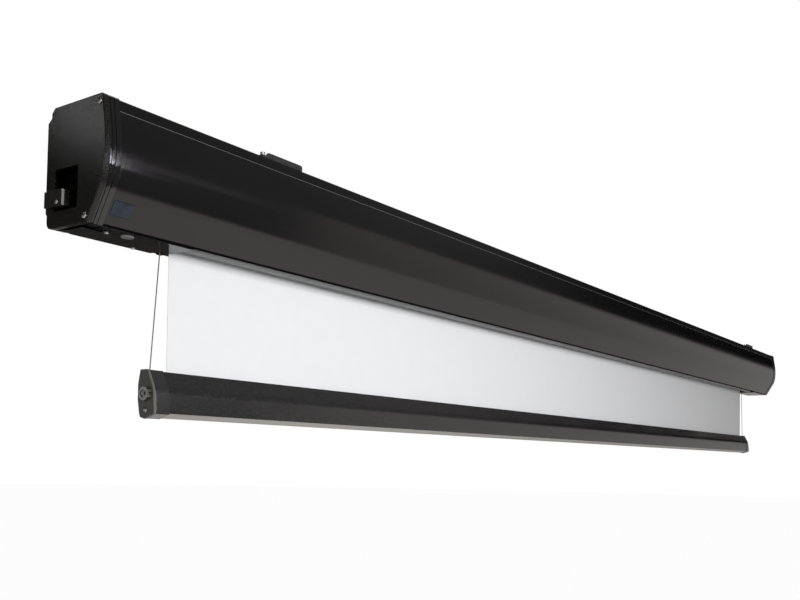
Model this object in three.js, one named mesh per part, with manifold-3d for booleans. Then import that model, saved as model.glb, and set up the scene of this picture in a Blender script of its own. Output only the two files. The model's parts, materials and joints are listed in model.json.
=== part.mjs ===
import * as THREE from "three";
import { mergeVertices } from "three/addons/utils/BufferGeometryUtils.js";
import Module from "manifold-3d";

const wasm = await Module();
wasm.setup();

// A tensioned motorized projector screen, partly lowered. Lengths are in millimetres.
// x runs along the casing from its middle. In a section, y grows from the front edge of
// the casing's top towards the wall, and z grows upwards from the casing's top.
// The finished group stands with y = 0 on the wall.

// Clearances, cuts, and the distance under which two points of an outline are one
const fit = 0.3;
const overrun = 5;
const hair = 0.001;

// Round stretches
const steps = { corner: 3, bow: 9, roll: 56, tube: 40, drum: 24, screw: 12, flute: 6, lead: 8 };

const sheet = { width: 2657, thickness: 0.5, shown: 159, behindFront: 75.4, sideMargin: 166 };

const casing = {
  height: 144.3, depth: 102.4, wall: 2.2, topRound: 3,
  seamDrop: 13.4, seamGap: 0.4, seamOut: 1, seamLedge: 9,
  bulgeOut: 6.9, bulgeAboveKnee: 37, kneeOut: 1, kneeRise: 43.3, kneeReach: 8,
  lipSetback: 24.7, lipLedge: 4,
  railDrop: 5.3, railInset: 6.9, railHeight: 5.7, railSlope: 5.5,
  heelRise: 19.3, heelInset: 2.5, heelSlope: 4, heelReach: 9, returnFlange: 6.9,
};

const endPlate = { overhang: 1.2, bevel: 0.8, face: 3, depth: 7.5, wall: 2.5 };

const rim = { depth: 16.2, wall: 2.5, groove: 1, bandNear: 2.7, bandWide: 4.4, bandGap: 0.9, collar: 7 };

const endScrew = {
  head: 3.8, proud: 1.8, shank: 1.9, reach: 14, topY: 3.9, topDrop: 8.2, fromLip: 1.5, footRise: 6.5,
};

const serviceWindow = { front: 41.5, rear: 86.4, rise: 18.5, height: 50.2, corner: 2 };

const pocket = { wall: 1.6, depth: 18 };

const inlet = {
  front: 59, rear: 94, rise: 3.2, height: 19.6, proud: 8, inside: 13, corner: 1.6,
  mouthWide: 17, mouthThin: 5.2, mouthDeep: 14, mouthInset: 1.3, mouthFromRear: 15,
};

const inletScrew = { head: 2.4, proud: 1.1, hole: 1.1, deep: 1, fromFront: 9.5, fromFoot: 4.6 };

const sockets = {
  fromRear: 3.4, width: 20, fromTop: 3.8, height: 19, deep: 6, jackWide: 7, jackTall: 9, jackDeep: 4,
};

const sensor = { fromEnd: 41.3, width: 28, height: 18.5, fromLip: 23.5, proud: 0.4 };

const receiver = { width: 30, height: 28, thickness: 1.6 };

const roller = {
  behindSheet: 28.55, rise: 26.7, radius: 25, wall: 1.5, wound: 28, motorEnd: 87.3, idlerEnd: 74.3,
};

const bulkhead = { fromEnd: 60, thickness: 3, leadHole: 4, leadY: 78, leadDrop: 44 };

const motor = {
  headRadius: 22, headDepth: 20.7, spigot: 10, spigotReach: 6, length: 560, shaft: 5, shaftReach: 18,
};

const crown = { flange: 2.7, wall: 2, depth: 14 };

const idler = { plugDepth: 40, flange: 3, pin: 6, bearing: 11, bearingDepth: 8 };

const cable = { radius: 0.8, layer: 1.2, turnsWide: 7, collarWide: 4, fromEnd: 152.5, lean: 14.8 };

const controlBox = { front: 60, drop: 8, height: 62, near: 27, width: 30, corner: 3 };

const lead = { radius: 2.2, rise: 26, stub: 6.6, segment: 11 };

const bottomCover = {
  thickness: 1.8, frontInset: 1.2, rearInset: 12.4, shortOfRoll: 1, notchWide: 9, notchClear: 2.6,
};

const coverScrew = { head: 2.8, proud: 1, fromNear: 92, fromRear: 4 };

const serviceCover = {
  near: 9.5, length: 44, front: 44.5, rear: 82, thickness: 1.2, corner: 6, square: 3, tab: 6.2,
};

const serviceScrew = { head: 2.6, proud: 0.9, fromTip: 12.5, y: 40.5 };

const button = {
  fromEnd: 71.5, y: 40, halfLong: 8.5, halfWide: 7.2, travel: 1.5, proud: 1.7, flange: 1.6, flangeThick: 0.8,
  overTravel: 0.2, bossWall: 1.6, boardThick: 1.2,
};

const bar = {
  height: 61.1, wall: 2, slot: 3, slotDeep: 13, shorter: 9,
  topFront: 6.4, browOut: 18.6, browDrop: 24.5, browRound: 7, bellyOut: 20.9, bellyDrop: 50.5,
  sillOut: 20.2, sillDrop: 55.7, keelOut: 3, soleBack: 3.6, soleRise: 1.9, heelBack: 5.4, heelDrop: 55.5,
  back: 8.8, backLow: 37, backHigh: 18, shoulderBack: 6.4, shoulderDrop: 5.5, topBack: 5.2,
};

const barCap = { depth: 21.7, wall: 2.4, proud: 1, plate: 4, plateProud: 1.4, cableGap: 2.2 };

const hemSlat = { width: 11, height: 4 };

const knob = {
  radius: 9.5, depth: 6.2, flute: 1.1, flutes: 12, shaft: 3, aheadOfSheet: 8.1, drop: 30.5,
  hollow: 5.4, hollowDeep: 1.6, hub: 2.4, hubProud: 0.9,
};

const drum = { width: 4, flange: 0.6, flangeRise: 2.4 };

const capScrew = { head: 3.2, proud: 0.9, shank: 1.7, reach: 9, aheadOfSheet: 6, rise: 9.8 };

const bracket = {
  fromEnd: 309, width: 72, thickness: 3, front: 2.5, lipRise: 5, lipRound: 4, legDrop: 62,
  slotWide: 8, slotTall: 18, slotsApart: 40, slotDrop: 38, hookHeight: 4.4, hookInset: 0.6,
  tabLong: 10, tabDeep: 9,
};

const bracketScrew = { head: 3.6, height: 4.2, fromTip: 5, socket: 1.9, socketDeep: 2 };

// Sizes that follow from the ones above
const length = sheet.width + 2 * sheet.sideMargin;
const bottom = -casing.height;
const rollerY = sheet.behindFront - roller.behindSheet;
const rollerZ = bottom + roller.rise;
const barTop = bottom - sheet.shown;
const extrusionEnd = endPlate.depth + fit + rim.depth + fit;
const barEnd = sheet.sideMargin - bar.shorter;
const capEnd = barEnd - fit - barCap.depth;
const plateEnd = capEnd - fit - barCap.plate;
const knobY = sheet.behindFront - knob.aheadOfSheet;
const knobZ = barTop - knob.drop;
const turnsRadius = roller.radius + fit + cable.layer;
const cableY = rollerY + turnsRadius + fit + cable.radius;
const wallPlane = casing.depth + fit + bracket.thickness;
const coverTop = bottom - fit;
const coverFoot = coverTop - bottomCover.thickness;
const coverFar = sheet.sideMargin - bottomCover.shortOfRoll;
const bossRise = fit + button.flangeThick + button.travel + button.overTravel;
const windowFoot = bottom + serviceWindow.rise;
const windowTop = windowFoot + serviceWindow.height;
const inletFoot = windowFoot + inlet.rise;
const inletTop = inletFoot + inlet.height;
const panelRun = casing.lipSetback + casing.kneeOut;
const panelTilt = Math.atan2(panelRun, casing.kneeRise);
const sensorShare = sensor.fromLip / Math.hypot(panelRun, casing.kneeRise);

const finishes = {
  anodized: { color: 0x242326, roughness: 0.32, metalness: 0.6 },
  texturedPlastic: { color: 0x1d1c1b, roughness: 0.62, metalness: 0 },
  glossPlastic: { color: 0x17161a, roughness: 0.2, metalness: 0 },
  mattePlastic: { color: 0x141414, roughness: 0.7, metalness: 0 },
  greyPlastic: { color: 0x6d6a62, roughness: 0.5, metalness: 0 },
  sensorPlastic: { color: 0x2a3d55, roughness: 0.15, metalness: 0 },
  darkSteel: { color: 0x1b1a1c, roughness: 0.4, metalness: 0.7 },
  steel: { color: 0xa7a9ab, roughness: 0.35, metalness: 0.9 },
  boardGreen: { color: 0x1f4a33, roughness: 0.6, metalness: 0 },
  sheetWhite: { color: 0xf1f1ef, roughness: 0.85, metalness: 0 },
  sheetBack: { color: 0x77777a, roughness: 0.8, metalness: 0 },
  cableGrey: { color: 0x8a8b8c, roughness: 0.4, metalness: 0.6 },
  leadBlack: { color: 0x101010, roughness: 0.6, metalness: 0 },
};

const screen = new THREE.Group();
const rollerGroup = new THREE.Group();
const barGroup = new THREE.Group();
screen.add(rollerGroup, barGroup);
rollerGroup.position.set(0, rollerY, rollerZ);
barGroup.position.set(0, sheet.behindFront, barTop);
screen.position.y = -wallPlane;

const left = { name: "left", sign: -1 };
const right = { name: "right", sign: 1 };

function addPiece(name, geometry, finish, group = screen) {
  const piece = new THREE.Mesh(geometry, new THREE.MeshStandardMaterial(finishes[finish]));
  piece.name = name;
  group.add(piece);
  return piece;
}

// A stretch of x between two distances from one end of the casing, lower value first
function stretch(side, near, far) {
  const ends = [side.sign * (length / 2 - near), side.sign * (length / 2 - far)];
  return ends.sort((a, b) => a - b);
}

function fromEnd(side, distance) {
  return side.sign * (length / 2 - distance);
}

// Outline helpers: a path is a list of [y, z] that keeps its outer side on its left
function outward(path, distance, closed) {
  const normal = (a, b) => {
    const long = Math.hypot(b[0] - a[0], b[1] - a[1]);
    return [(a[1] - b[1]) / long, (b[0] - a[0]) / long];
  };
  return path.map((point, i) => {
    const before = path[i - 1] ?? (closed ? path.at(-1) : null);
    const after = path[i + 1] ?? (closed ? path[0] : null);
    const m = before ? normal(before, point) : normal(point, after);
    const n = after ? normal(point, after) : m;
    const share = distance / (1 + m[0] * n[0] + m[1] * n[1]);
    return [point[0] + (m[0] + n[0]) * share, point[1] + (m[1] + n[1]) * share];
  });
}

function strip(path, wall) {
  return [...path, ...outward(path, -wall, false).reverse()];
}

function sampled(curve, count) {
  return curve.getPoints(count).map((p) => [p.x, p.y]);
}

// Points that take the place of a corner, starting and ending at a reach from it
function rounded(before, corner, after, reach, count = steps.corner) {
  const towards = (end) => {
    const long = Math.hypot(end[0] - corner[0], end[1] - corner[1]);
    const share = Math.min(reach, long / 2) / long;
    return new THREE.Vector2(...corner).lerp(new THREE.Vector2(...end), share);
  };
  const curve = new THREE.QuadraticBezierCurve(towards(before), new THREE.Vector2(...corner), towards(after));
  return sampled(curve, count);
}

// An even bow from one point to another through a third at its middle
function bowed(from, through, to, count) {
  const control = [0, 1].map((i) => 2 * through[i] - (from[i] + to[i]) / 2);
  const curve = new THREE.QuadraticBezierCurve(
    new THREE.Vector2(...from), new THREE.Vector2(...control), new THREE.Vector2(...to));
  return sampled(curve, count);
}

function roundedBox(low, high, reach) {
  const corners = [[low[0], low[1]], [high[0], low[1]], [high[0], high[1]], [low[0], high[1]]];
  return corners.flatMap((corner, i) => rounded(corners.at(i - 1), corner, corners[(i + 1) % 4], reach));
}

function oval(centre, halfLong, halfWide, count = steps.drum) {
  const curve = new THREE.EllipseCurve(centre[0], centre[1], halfLong, halfWide, 0, 2 * Math.PI);
  return sampled(curve, count).slice(0, -1);
}

// Solids
function extruded(outline, depth, holes) {
  const apart = (a, b) => Math.hypot(a[0] - b[0], a[1] - b[1]) > hair;
  const points = (list) => list.filter((point, i) => apart(point, list.at(i - 1)))
    .map(([u, v]) => new THREE.Vector2(u, v));
  const shape = new THREE.Shape(points(outline));
  shape.holes = holes.map((hole) => new THREE.Path(points(hole)));
  return new THREE.ExtrudeGeometry(shape, { depth, steps: 1, bevelEnabled: false });
}

// A section of [y, z] carried along x
function prism(outline, [low, high], holes = []) {
  const geometry = extruded(outline, high - low, holes);
  const yAxis = new THREE.Vector3(0, 1, 0);
  const zAxis = new THREE.Vector3(0, 0, 1);
  geometry.applyMatrix4(new THREE.Matrix4().makeBasis(yAxis, zAxis, new THREE.Vector3(1, 0, 0)));
  return geometry.translate(low, 0, 0);
}

// A plan of [x, y] carried upwards
function slab(outline, low, high, holes = []) {
  return extruded(outline, high - low, holes).translate(0, 0, low);
}

// A front view of [x, z] carried along y
function panel(outline, low, high, holes = []) {
  return extruded(outline, high - low, holes).rotateX(Math.PI / 2).translate(0, high, 0);
}

function block(low, high) {
  const size = high.map((value, i) => value - low[i]);
  const middle = high.map((value, i) => (value + low[i]) / 2);
  return new THREE.BoxGeometry(...size).translate(...middle);
}

// A profile of [x, radius], walked outwards on its low side, turned about x
function turned(profile, count) {
  const points = profile.map(([x, radius]) => new THREE.Vector2(radius, x));
  return new THREE.LatheGeometry(points, count).rotateZ(-Math.PI / 2);
}

function disc([low, high], radius, count) {
  return turned([[low, 0], [low, radius], [high, radius], [high, 0]], count);
}

function ring([low, high], inner, outer, count) {
  return turned([[low, inner], [low, outer], [high, outer], [high, inner], [low, inner]], count);
}

// The same shapes standing on z
function upright(geometry, x, y, z) {
  return geometry.rotateY(-Math.PI / 2).translate(x, y, z);
}

function toManifold(geometry) {
  const bare = geometry.clone();
  bare.deleteAttribute("normal");
  bare.deleteAttribute("uv");
  const merged = mergeVertices(bare);
  return new wasm.Manifold(new wasm.Mesh({
    numProp: 3,
    vertProperties: new Float32Array(merged.attributes.position.array),
    triVerts: new Uint32Array(merged.index.array),
  }));
}

function fromManifold(manifold) {
  const mesh = manifold.getMesh();
  const geometry = new THREE.BufferGeometry();
  geometry.setAttribute("position", new THREE.BufferAttribute(mesh.vertProperties, 3));
  geometry.setIndex(new THREE.BufferAttribute(mesh.triVerts, 1));
  geometry.computeVertexNormals();
  return geometry;
}

function joined(...geometries) {
  return fromManifold(geometries.map(toManifold).reduce((whole, next) => whole.add(next)));
}

function cut(geometry, ...tools) {
  const taken = tools.map(toManifold).reduce((whole, next) => whole.add(next));
  return fromManifold(toManifold(geometry).subtract(taken));
}

// Casing sections
function frontCurve() {
  const lip = [casing.lipSetback, bottom];
  const knee = [-casing.kneeOut, bottom + casing.kneeRise];
  const seam = [-casing.seamOut, -casing.seamDrop];
  const bow = bowed(knee, [-casing.bulgeOut, knee[1] + casing.bulgeAboveKnee], seam, steps.bow);
  return [lip, ...rounded(lip, knee, bow[1], casing.kneeReach), ...bow.slice(1)];
}

function backCurve() {
  const rail = casing.depth - casing.railInset;
  const heel = casing.depth - casing.heelInset;
  const step = [heel, bottom + casing.heelRise - casing.heelSlope];
  const tip = [heel - casing.heelReach - casing.returnFlange, bottom];
  return [
    [rail - casing.railDrop, 0], [rail, -casing.railDrop], [rail, -casing.railDrop - casing.railHeight],
    [casing.depth, -casing.railDrop - casing.railHeight - casing.railSlope],
    [casing.depth, bottom + casing.heelRise], step,
    ...rounded(step, [heel, bottom], tip, casing.heelReach), tip,
  ];
}

function topCorner() {
  return rounded([-casing.seamOut, -casing.seamDrop], [0, 0], [casing.depth, 0], casing.topRound);
}

const casingOutline = [...frontCurve(), ...topCorner(), ...backCurve()];

function housing(span) {
  const path = [
    [casing.seamLedge, -casing.seamDrop], [-casing.seamOut, -casing.seamDrop], ...topCorner(), ...backCurve(),
  ];
  return prism(strip(path, casing.wall), span);
}

function sensorBox(width, height, near, far) {
  const low = [-width / 2, near, -height / 2];
  const high = [width / 2, far, height / 2];
  return onPanel(block(low, high));
}

// Carries a shape onto the lower front panel, with its y pointing into the casing
function onPanel(geometry) {
  return geometry.rotateX(panelTilt).translate(fromEnd(left, sensor.fromEnd), ...sensorPlace(0));
}

// The sensor's middle as [y, z], at a depth behind the lower front panel's outer face
function sensorPlace(depth) {
  return [
    casing.lipSetback - panelRun * sensorShare + depth * Math.cos(panelTilt),
    bottom + casing.kneeRise * sensorShare + depth * Math.sin(panelTilt),
  ];
}

function frontCover(span) {
  const edge = -casing.seamDrop - casing.seamGap;
  const curve = frontCurve();
  const path = [
    [casing.lipSetback + casing.lipLedge, bottom], ...curve.slice(0, -1),
    [-casing.seamOut, edge], [casing.seamLedge, edge],
  ];
  const shell = prism(strip(path, casing.wall), span);
  return cut(shell, sensorBox(sensor.width, sensor.height, -overrun, casing.wall + overrun));
}

function makeCasing() {
  const span = [-length / 2 + extrusionEnd, length / 2 - extrusionEnd];
  addPiece("housing", housing(span), "anodized");
  addPiece("front_cover", frontCover(span), "anodized");
}

// End plates, rims and their screws
const screwPlaces = {
  upper: [endScrew.topY, -endScrew.topDrop],
  lower: [casing.lipSetback + endScrew.fromLip, bottom + endScrew.footRise],
};

function placedAcross(geometry, [y, z]) {
  return geometry.translate(0, y, z);
}

function windowOutline() {
  const low = [serviceWindow.front, windowFoot];
  return roundedBox(low, [serviceWindow.rear, windowTop], serviceWindow.corner);
}

function makeEndPlate(side) {
  const edge = outward(casingOutline, endPlate.overhang, true);
  const face = outward(casingOutline, endPlate.overhang - endPlate.bevel, true);
  const inner = outward(edge, -endPlate.wall, true);
  const body = joined(
    prism(edge, stretch(side, endPlate.bevel, endPlate.depth)), prism(face, stretch(side, 0, endPlate.bevel)));
  const cuts = [prism(inner, stretch(side, endPlate.face, endPlate.depth + overrun))];
  for (const place of Object.values(screwPlaces)) {
    const bore = disc(stretch(side, -overrun, endPlate.face + overrun), endScrew.shank + fit, steps.screw);
    cuts.push(placedAcross(bore, place));
  }
  if (side.name === "left") {
    cuts.push(prism(windowOutline(), stretch(side, -overrun, endPlate.face + overrun)));
  }
  addPiece(`end_plate_${side.name}`, cut(body, ...cuts), "texturedPlastic");
}

function makeEndRim(side) {
  const near = endPlate.depth + fit;
  const far = near + rim.depth;
  const edge = outward(casingOutline, endPlate.overhang, true);
  const groove = outward(edge, -rim.groove, true);
  const band = near + rim.bandNear;
  const collar = band + rim.bandWide + rim.bandGap;
  const body = joined(
    prism(groove, stretch(side, near, far)),
    prism(edge, stretch(side, band, band + rim.bandWide)),
    prism(edge, stretch(side, collar, collar + rim.collar)));
  const hollow = prism(outward(groove, -rim.wall, true), stretch(side, near - overrun, far + overrun));
  addPiece(`end_rim_${side.name}`, cut(body, hollow), "glossPlastic");
}

function makeEndScrews(side) {
  for (const [level, place] of Object.entries(screwPlaces)) {
    const screw = joined(
      disc(stretch(side, -fit - endScrew.proud, -fit), endScrew.head, steps.screw),
      disc(stretch(side, -fit - endScrew.proud / 2, endScrew.reach), endScrew.shank, steps.screw));
    addPiece(`end_screw_${side.name}_${level}`, placedAcross(screw, place), "steel");
  }
}

// Service window of the left end plate, with its pocket, sockets and power inlet
function makePocket() {
  const outline = windowOutline();
  const near = endPlate.face + fit;
  const outer = prism(outward(outline, -pocket.wall, true), stretch(left, near, near + pocket.depth));
  const hollow = prism(outline, stretch(left, near - overrun, near + pocket.depth - pocket.wall));
  addPiece("service_pocket", cut(outer, hollow), "mattePlastic");
}

function makeSockets() {
  const back = endPlate.face + fit + pocket.depth - pocket.wall - fit;
  const front = back - sockets.deep;
  const [low, high] = stretch(left, front, back);
  const y = serviceWindow.rear - sockets.fromRear - sockets.width;
  const top = windowTop - sockets.fromTop;
  const body = block([low, y, top - sockets.height], [high, y + sockets.width, top]);
  const jacks = [1, 3].map((quarter) => {
    const middle = y + sockets.width * quarter / 4;
    const z = top - sockets.height / 2;
    const [mouth, end] = stretch(left, front - overrun, front + sockets.jackDeep);
    return block(
      [mouth, middle - sockets.jackWide / 2, z - sockets.jackTall / 2],
      [end, middle + sockets.jackWide / 2, z + sockets.jackTall / 2]);
  });
  addPiece("control_sockets", cut(body, ...jacks), "mattePlastic");
}

function makeInlet() {
  const outline = roundedBox([inlet.front, inletFoot], [inlet.rear, inletTop], inlet.corner);
  const plug = roundedBox([inlet.front, inletFoot], [serviceWindow.rear - fit, inletTop], inlet.corner);
  const outer = prism(outline, stretch(left, -fit - inlet.proud, -fit));
  const inner = prism(plug, stretch(left, -fit - inlet.proud / 2, inlet.inside));
  const [near, far] = stretch(
    left, -fit - inlet.proud + inlet.mouthInset, -fit - inlet.proud + inlet.mouthInset + inlet.mouthThin);
  const rear = inlet.rear - inlet.mouthFromRear / 2;
  const mouth = block(
    [near, rear - inlet.mouthWide, inletFoot - overrun], [far, rear, inletFoot + inlet.mouthDeep]);
  const [mark] = stretch(left, -fit - inlet.proud - overrun, 0);
  const place = [inlet.front + inletScrew.fromFront, inletFoot + inletScrew.fromFoot];
  const hole = disc([mark, mark + overrun + inletScrew.deep], inletScrew.hole + fit, steps.screw);
  addPiece("power_inlet", cut(joined(outer, inner), mouth, placedAcross(hole, place)), "texturedPlastic");
  const face = -fit - inlet.proud;
  const head = disc(stretch(left, face - fit - inletScrew.proud, face - fit), inletScrew.head, steps.screw);
  const stem = disc(stretch(left, face - fit - inletScrew.proud / 2, face + inletScrew.deep - fit),
    inletScrew.hole, steps.screw);
  addPiece("inlet_screw", placedAcross(joined(head, stem), place), "steel");
}

// Sensor window, its board, and the control box with its leads
function makeSensor() {
  const pane = sensorBox(sensor.width - 2 * fit, sensor.height - 2 * fit, -sensor.proud, casing.wall);
  addPiece("sensor_window", pane, "sensorPlastic");
  const near = casing.wall + fit;
  const board = sensorBox(receiver.width, receiver.height, near, near + receiver.thickness);
  addPiece("receiver_board", board, "boardGreen");
}

function makeControlBox() {
  const rear = casing.depth - casing.railInset - casing.wall - fit;
  const foot = -controlBox.drop - controlBox.height;
  const outline = roundedBox([controlBox.front, foot], [rear, -controlBox.drop], controlBox.corner);
  const far = controlBox.near + controlBox.width;
  addPiece("control_box", prism(outline, stretch(left, controlBox.near, far)), "mattePlastic");
}

function leadAlong(points) {
  const places = points.map((point) => new THREE.Vector3(...point));
  const curve = new THREE.CatmullRomCurve3(places, false, "centripetal");
  const section = new THREE.Shape(
    oval([0, 0], lead.radius, lead.radius, steps.lead).map(([u, v]) => new THREE.Vector2(u, v)));
  const count = Math.ceil(curve.getLength() / lead.segment);
  return new THREE.ExtrudeGeometry(section, { steps: count, extrudePath: curve, bevelEnabled: false });
}

function makeLeads() {
  const x = (distance) => fromEnd(left, distance);
  const boxEnd = controlBox.near + controlBox.width + fit;
  const headMiddle = bulkhead.fromEnd + bulkhead.thickness + fit + motor.headDepth / 2;
  const headTop = rollerZ + motor.headRadius + fit;
  const high = [bulkhead.leadY, -bulkhead.leadDrop];
  addPiece("motor_lead", leadAlong([
    [x(boxEnd), ...high],
    [x(bulkhead.fromEnd + bulkhead.thickness), ...high],
    [x(headMiddle - lead.radius), bulkhead.leadY - 2 * lead.radius, high[1] - lead.radius],
    [x(headMiddle), (bulkhead.leadY + rollerY) / 2, (high[1] + headTop + lead.rise) / 2],
    [x(headMiddle), rollerY, headTop + lead.rise / 2],
    [x(headMiddle), rollerY, headTop],
  ]), "leadBlack");

  const depth = casing.wall + 2 * fit + receiver.thickness;
  const start = sensorPlace(depth);
  const boxMiddle = -controlBox.drop - controlBox.height / 2;
  addPiece("receiver_lead", leadAlong([
    [x(sensor.fromEnd), ...start],
    [x(sensor.fromEnd), ...sensorPlace(depth + lead.stub)],
    [x(sensor.fromEnd), (start[0] + controlBox.front) / 2, (start[1] + boxMiddle) / 2],
    [x(sensor.fromEnd), controlBox.front - fit - lead.stub, boxMiddle],
    [x(sensor.fromEnd), controlBox.front - fit, boxMiddle],
  ]), "leadBlack");
}

// Bulkheads inside the casing, which carry the motor and the idler
function bulkheadPlate(side, holeRadius) {
  const span = stretch(side, bulkhead.fromEnd, bulkhead.fromEnd + bulkhead.thickness);
  const outline = outward(casingOutline, -casing.wall - fit, true);
  const far = bulkhead.fromEnd + bulkhead.thickness + overrun;
  const [low, high] = stretch(side, bulkhead.fromEnd - overrun, far);
  const ledgeTop = -casing.seamDrop + casing.wall + fit;
  const ledgeFoot = -casing.seamDrop - casing.seamGap - casing.wall - fit;
  const ledges = block([low, -casing.bulgeOut, ledgeFoot], [high, casing.seamLedge + fit, ledgeTop]);
  const hole = disc([low, high], holeRadius + fit, steps.drum).translate(0, rollerY, rollerZ);
  return [prism(outline, span), ledges, hole, [low, high]];
}

function makeMotor() {
  const [plate, ledges, hole, span] = bulkheadPlate(left, motor.spigot);
  const leadHole = disc(span, bulkhead.leadHole, steps.screw);
  leadHole.translate(0, bulkhead.leadY, -bulkhead.leadDrop);
  const notchRear = button.y + button.halfWide + button.flange + button.bossWall + 2 * fit;
  const notchTop = coverTop + bossRise + button.boardThick + 2 * fit;
  const notch = block([span[0], casing.lipSetback, bottom], [span[1], notchRear, notchTop]);
  addPiece("motor_bracket", cut(plate, ledges, hole, leadHole, notch), "darkSteel");

  const headNear = bulkhead.fromEnd + bulkhead.thickness + fit;
  const headFar = headNear + motor.headDepth;
  const head = joined(
    disc(stretch(left, headNear, headFar), motor.headRadius, steps.drum),
    disc(stretch(left, bulkhead.fromEnd - motor.spigotReach, headFar), motor.spigot, steps.drum));
  addPiece("motor_head", head.translate(0, rollerY, rollerZ), "mattePlastic");

  const near = headFar + fit;
  const radius = roller.radius - roller.wall - crown.wall - 2 * fit;
  const body = joined(
    disc(stretch(left, near, near + motor.length), radius, steps.drum),
    disc(stretch(left, near + motor.length - overrun, near + motor.length + motor.shaftReach), motor.shaft,
      steps.drum));
  addPiece("tubular_motor", body.translate(0, rollerY, rollerZ), "steel");
  return { far: near + motor.length, radius };
}

// The roller, with what turns with it
function makeRoller(motorBody) {
  const inner = roller.radius - roller.wall;
  const tube = [-length / 2 + roller.motorEnd, length / 2 - roller.idlerEnd];
  addPiece("roller_tube", ring(tube, inner, roller.radius, steps.tube), "steel", rollerGroup);

  const crownEnd = roller.motorEnd - fit;
  const crownRing = joined(
    ring(stretch(left, crownEnd - crown.flange, crownEnd), motorBody.radius + fit, roller.radius, steps.tube),
    ring(stretch(left, crownEnd - crown.flange, crownEnd + crown.depth), motorBody.radius + fit, inner - fit,
      steps.tube));
  addPiece("crown_ring", crownRing, "greyPlastic", rollerGroup);

  const wheel = ring(stretch(left, motorBody.far + fit, motorBody.far + motor.shaftReach), motor.shaft + fit,
    inner - fit, steps.tube);
  addPiece("drive_wheel", wheel, "greyPlastic", rollerGroup);

  const plugEnd = roller.idlerEnd - fit;
  const pinEnd = bulkhead.fromEnd + fit;
  const plug = joined(
    disc(stretch(right, plugEnd - idler.flange, plugEnd), roller.radius, steps.tube),
    disc(stretch(right, plugEnd - idler.flange, plugEnd + idler.plugDepth), inner - fit, steps.tube),
    disc(stretch(right, pinEnd, plugEnd), idler.pin, steps.drum));
  addPiece("idler_plug", plug, "greyPlastic", rollerGroup);

  const fabric = [-sheet.width / 2, sheet.width / 2];
  const roll = ring(fabric, roller.radius + fit, roller.wound, steps.roll);
  addPiece("fabric_roll", roll, "sheetBack", rollerGroup);

  for (const side of [left, right]) {
    const turnsNear = cable.fromEnd - cable.turnsWide / 2;
    const turnsFar = turnsNear + cable.turnsWide;
    const turns = ring(stretch(side, turnsNear, turnsFar), roller.radius + fit, turnsRadius, steps.tube);
    addPiece(`cable_turns_${side.name}`, turns, "cableGrey", rollerGroup);
    const collar = ring(stretch(side, turnsFar + fit, turnsFar + fit + cable.collarWide), roller.radius + fit,
      turnsRadius, steps.tube);
    addPiece(`cable_collar_${side.name}`, collar, "greyPlastic", rollerGroup);
  }
}

function makeIdlerBracket() {
  const [plate, ledges, hole] = bulkheadPlate(right, idler.bearing);
  addPiece("idler_bracket", cut(plate, ledges, hole), "darkSteel");
  const span = stretch(right, bulkhead.fromEnd, bulkhead.fromEnd + idler.bearingDepth);
  const bearing = ring(span, idler.pin + fit, idler.bearing, steps.drum);
  addPiece("idler_bearing", bearing.translate(0, rollerY, rollerZ), "steel");
}

// Bottom covers, with the button and the service cover under the left one
function planned(side, outline) {
  return outline.map(([distance, y]) => [fromEnd(side, distance), y]);
}

function makeBottomCover(side) {
  const front = casing.lipSetback + bottomCover.frontInset;
  const rear = casing.depth - bottomCover.rearInset;
  const notchNear = cable.fromEnd - bottomCover.notchWide / 2;
  const notchFront = cableY - bottomCover.notchClear;
  const notchFar = notchNear + bottomCover.notchWide;
  const outline = planned(side, [
    [extrusionEnd, front], [coverFar, front], [coverFar, rear], [notchFar, rear], [notchFar, notchFront],
    [notchNear, notchFront], [notchNear, rear], [extrusionEnd, rear],
  ]);
  const plate = slab(outline, coverFoot, coverTop);
  if (side.name === "right") {
    addPiece("bottom_cover_right", plate, "mattePlastic");
    return;
  }
  const centre = [fromEnd(side, button.fromEnd), button.y];
  const clear = button.flange + fit;
  const wide = [button.halfLong + clear, button.halfWide + clear];
  const boss = slab(
    oval(centre, wide[0] + button.bossWall, wide[1] + button.bossWall), coverFoot, coverTop + bossRise);
  const well = slab(oval(centre, ...wide), coverTop, coverTop + bossRise + overrun);
  const hole = slab(
    oval(centre, button.halfLong + fit, button.halfWide + fit), coverFoot - overrun, coverTop + overrun);
  addPiece("bottom_cover_left", cut(joined(plate, boss), well, hole), "mattePlastic");
}

function makeCoverScrew(side) {
  const y = casing.depth - bottomCover.rearInset - coverScrew.fromRear;
  const x = fromEnd(side, extrusionEnd + coverScrew.fromNear);
  const head = disc([-coverScrew.proud, 0], coverScrew.head, steps.screw);
  addPiece(`cover_screw_${side.name}`, upright(head, x, y, coverFoot - fit), "steel");
}

function makeButton() {
  const centre = [fromEnd(left, button.fromEnd), button.y];
  const seat = coverTop + fit;
  const cap = slab(oval(centre, button.halfLong, button.halfWide), coverFoot - button.proud, seat);
  const wide = [button.halfLong + button.flange, button.halfWide + button.flange];
  const flange = slab(oval(centre, ...wide), seat, seat + button.flangeThick);
  addPiece("control_button", joined(cap, flange), "greyPlastic");

  const boardFoot = coverTop + bossRise + fit;
  const half = wide.map((value) => value + button.bossWall / 2);
  const board = slab(
    roundedBox([centre[0] - half[0], centre[1] - half[1]], [centre[0] + half[0], centre[1] + half[1]], half[1]),
    boardFoot, boardFoot + button.boardThick);
  addPiece("button_board", board, "boardGreen");
}

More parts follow.
